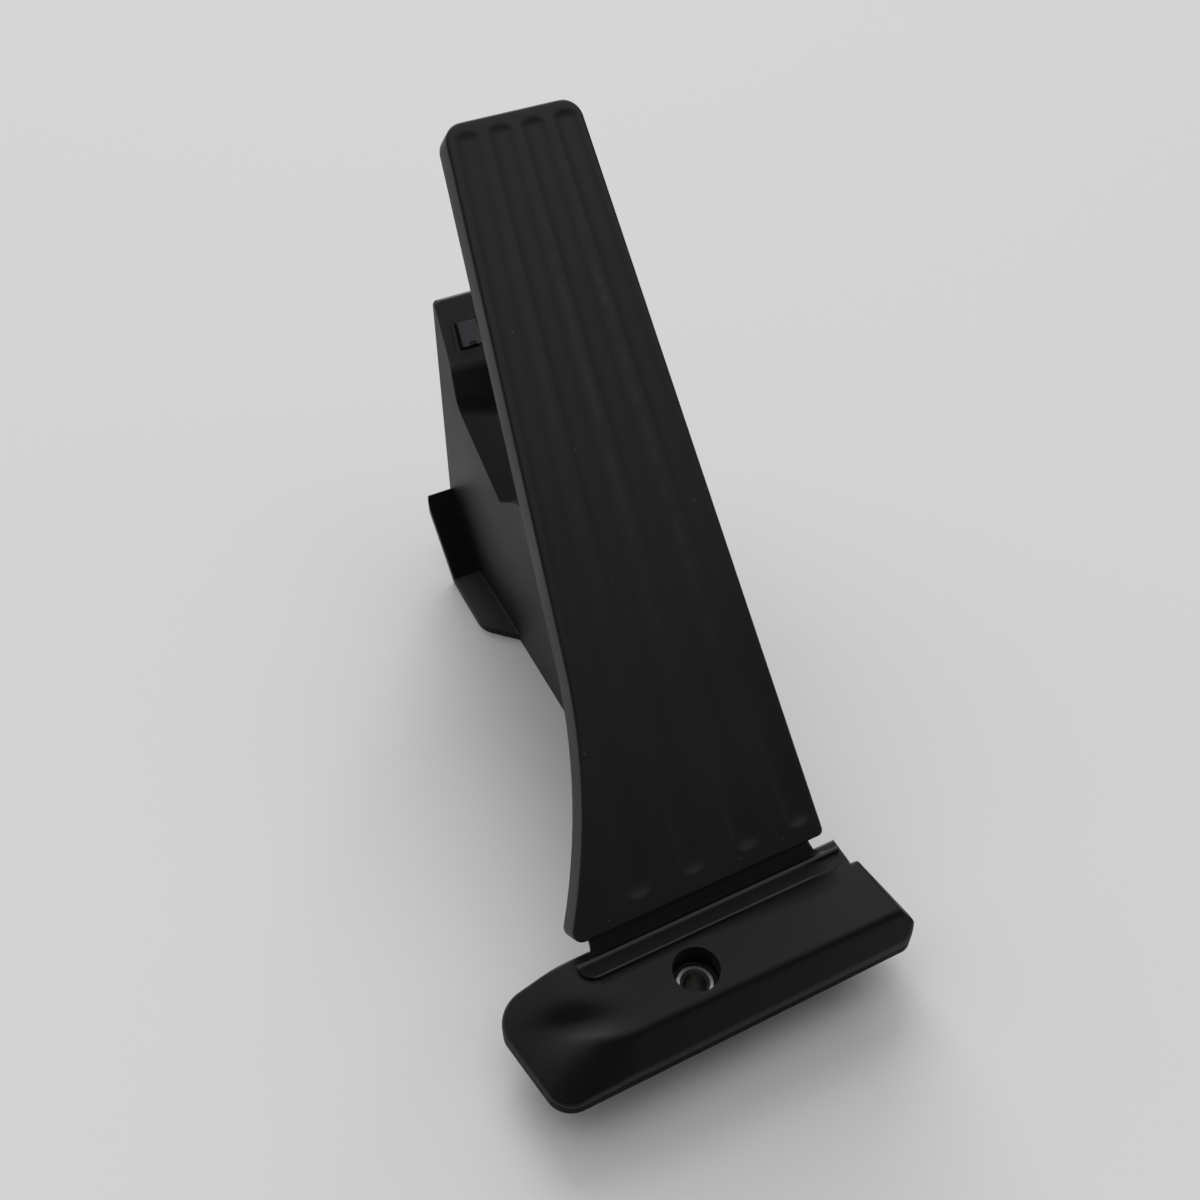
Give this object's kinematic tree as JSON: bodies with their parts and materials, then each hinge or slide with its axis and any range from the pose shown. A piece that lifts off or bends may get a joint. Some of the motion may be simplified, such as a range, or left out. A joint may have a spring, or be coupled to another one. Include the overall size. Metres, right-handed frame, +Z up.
{
  "type": "accelerator pedal",
  "caption": "Floor-hinged electronic accelerator pedal: fluted tapered pad on a film hinge, bolted foot, neck and sensor housing with a sprung lever under the pad.",
  "frame": {"origin": "on the axis of the foot's bolt bush, at the floor", "axes": "X across the pad to the driver's right, Y back from the foot to the housing, Z up from the floor"},
  "size_m": [0.1162, 0.2202, 0.1777],
  "materials": {
    "pad_black": "moulded glass-filled nylon, fine grain, slightly worn sheen",
    "housing_black": "moulded glass-filled nylon, smooth satin",
    "foot_black": "moulded glass-filled nylon, fine grain",
    "leaf_black": "moulded polypropylene, satin",
    "lever_black": "moulded acetal, satin",
    "bearing_white": "moulded acetal, satin",
    "steel": "zinc-plated",
    "spring_steel": "drawn wire",
    "seal_rubber": "moulded, matte",
    "board_green": "solder resist",
    "chip_black": "moulded epoxy",
    "contact_tin": "tinned",
    "magnet_grey": "sintered"
  },
  "bodies": {
    "base": {"base_housing": "housing_black", "housing_cover": "housing_black", "latch_catch": "housing_black", "foot_cover": "foot_black", "hinge_leaf": "leaf_black", "friction_washers": "bearing_white", "lever_shaft": "steel", "foot_bush": "steel", "cover_screws": "steel", "outer_spring": "spring_steel", "inner_spring": "spring_steel", "spring_seat": "lever_black", "idle_stop": "seal_rubber", "full_stop": "seal_rubber", "cover_seal": "seal_rubber", "sensor_board": "board_green", "sensor_chip": "chip_black", "connector_pins": "contact_tin"},
    "pedal": {"pedal_pad": "pad_black"},
    "lever": {"lever": "lever_black", "lever_bushes": "bearing_white", "lever_magnet": "magnet_grey"}
  },
  "joints": [
    {"name": "pedal_hinge", "type": "hinge", "parent": "base", "child": "pedal", "pos_m": [0.012, 0.0176, 0.0256], "axis": [-1, 0, 0], "range_deg": [0, 15], "stiffness_Nm_per_rad": 11, "springref_deg": -15.47, "deforming": ["hinge_leaf"]},
    {"name": "lever_turn", "type": "hinge", "parent": "base", "child": "lever", "pos_m": [0.03, 0.1285, 0.0415], "axis": [-1, 0, 0], "range_deg": [0, 35.25], "deforming": ["outer_spring", "inner_spring"]}
  ],
  "couplings": [
    {"joint": "lever_turn", "follows": "pedal_hinge", "ratio": 2.35}
  ]
}
